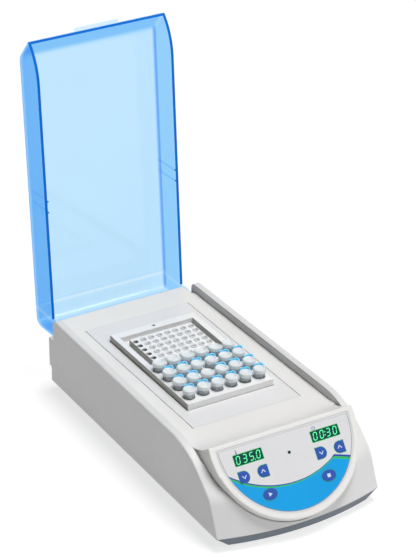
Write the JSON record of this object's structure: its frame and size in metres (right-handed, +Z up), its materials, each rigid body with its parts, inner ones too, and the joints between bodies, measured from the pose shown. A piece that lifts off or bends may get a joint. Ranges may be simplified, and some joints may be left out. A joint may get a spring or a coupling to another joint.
{
  "type": "dry bath incubator",
  "caption": "Compact bench heater: sloping round control panel, metal sample block with tubes and small wells, and a clear hinged lid.",
  "frame": {"origin": "on the bench plane, under the middle of the whole outline with the lid open", "axes": "+X to the instrument's right, +Y to the rear where the lid is hinged, +Z up"},
  "size_m": [0.1754, 0.419, 0.3642],
  "materials": {
    "housing": "fine-textured warm white enamel",
    "deck": "satin white moulding",
    "bezel": "satin white insert",
    "overlay": "printed film",
    "key_blue": "satin blue caps",
    "window_dark": "tinted window",
    "module_black": "black display module",
    "lamp": "indicator lens",
    "board_green": "solder-masked circuit board",
    "dark_plastic": "black moulding",
    "steel": "zinc-plated screws",
    "brass_pin": "plated pins and standoffs",
    "block_metal": "clear-anodised blasted block",
    "mat": "silicone heating mat",
    "foam": "insulation board",
    "pan": "dark blue-grey powder coat",
    "rubber_black": "moulded rubber",
    "lid_clear": "clear blue-tinted moulding",
    "tube_clear": "translucent natural plastic with pale blue straps"
  },
  "bodies": {
    "housing": {"outer_shell": "housing", "deck_cover": "deck", "well_bezel": "bezel", "panel_overlay": "overlay", "display_temperature_window": "window_dark", "display_time_window": "window_dark", "display_temperature_module": "module_black", "display_time_module": "module_black", "indicator_lamp": "lamp", "control_board": "board_green", "key_switches": "dark_plastic", "control_board_screws": "steel", "heater_plate": "block_metal", "heating_mat": "mat", "temperature_sensor": "steel", "insulation_tub": "foam", "thermal_cut_out": "dark_plastic", "well_posts": "foam", "base_pan": "pan", "rubber_feet": "rubber_black", "base_screws": "steel", "hinge_screws": "steel", "hinge_nuts": "steel", "power_inlet": "dark_plastic", "inlet_pins": "brass_pin", "fuse_holder": "dark_plastic", "probe_socket": "dark_plastic", "mains_switch_frame": "dark_plastic", "power_board": "board_green", "board_standoffs": "brass_pin", "board_screws": "steel", "board_components": "dark_plastic"},
    "lid": {"lid": "lid_clear"},
    "sample_block": {"sample_block": "block_metal"},
    "sample_tubes": {"sample_tubes": "tube_clear"},
    "mains_switch_rocker": {"mains_switch_rocker": "dark_plastic"},
    "key_temperature_down": {"key_temperature_down": "key_blue"},
    "key_temperature_up": {"key_temperature_up": "key_blue"},
    "key_time_down": {"key_time_down": "key_blue"},
    "key_time_up": {"key_time_up": "key_blue"},
    "key_start": {"key_start": "key_blue"},
    "key_stop": {"key_stop": "key_blue"}
  },
  "joints": [
    {"name": "lid_hinge", "type": "hinge", "parent": "housing", "child": "lid", "pos_m": [0, 0.1429, 0.0625], "axis": [-1, 0, 0], "range_deg": [-93.5, 0]},
    {"name": "block_lift", "type": "slide", "parent": "housing", "child": "sample_block", "axis": [0, 0, 1], "range_m": [0, 0.06]},
    {"name": "tube_lift", "type": "slide", "parent": "sample_block", "child": "sample_tubes", "axis": [0, 0, 1], "range_m": [0, 0.045]},
    {"name": "key_temperature_down_press", "type": "slide", "parent": "housing", "child": "key_temperature_down", "axis": [0, 0.7934, -0.6088], "range_m": [0, 0.0004], "stiffness_N_per_m": 400, "springref_m": -0.001},
    {"name": "key_temperature_up_press", "type": "slide", "parent": "housing", "child": "key_temperature_up", "axis": [0, 0.7934, -0.6088], "range_m": [0, 0.0004], "stiffness_N_per_m": 400, "springref_m": -0.001},
    {"name": "key_time_down_press", "type": "slide", "parent": "housing", "child": "key_time_down", "axis": [0, 0.7934, -0.6088], "range_m": [0, 0.0004], "stiffness_N_per_m": 400, "springref_m": -0.001},
    {"name": "key_time_up_press", "type": "slide", "parent": "housing", "child": "key_time_up", "axis": [0, 0.7934, -0.6088], "range_m": [0, 0.0004], "stiffness_N_per_m": 400, "springref_m": -0.001},
    {"name": "key_start_press", "type": "slide", "parent": "housing", "child": "key_start", "axis": [0, 0.7934, -0.6088], "range_m": [0, 0.0004], "stiffness_N_per_m": 400, "springref_m": -0.001},
    {"name": "key_stop_press", "type": "slide", "parent": "housing", "child": "key_stop", "axis": [0, 0.7934, -0.6088], "range_m": [0, 0.0004], "stiffness_N_per_m": 400, "springref_m": -0.001},
    {"name": "mains_switch", "type": "hinge", "parent": "housing", "child": "mains_switch_rocker", "pos_m": [-0.006, 0.1461, 0.044], "axis": [1, 0, 0], "range_deg": [0, 14]}
  ]
}
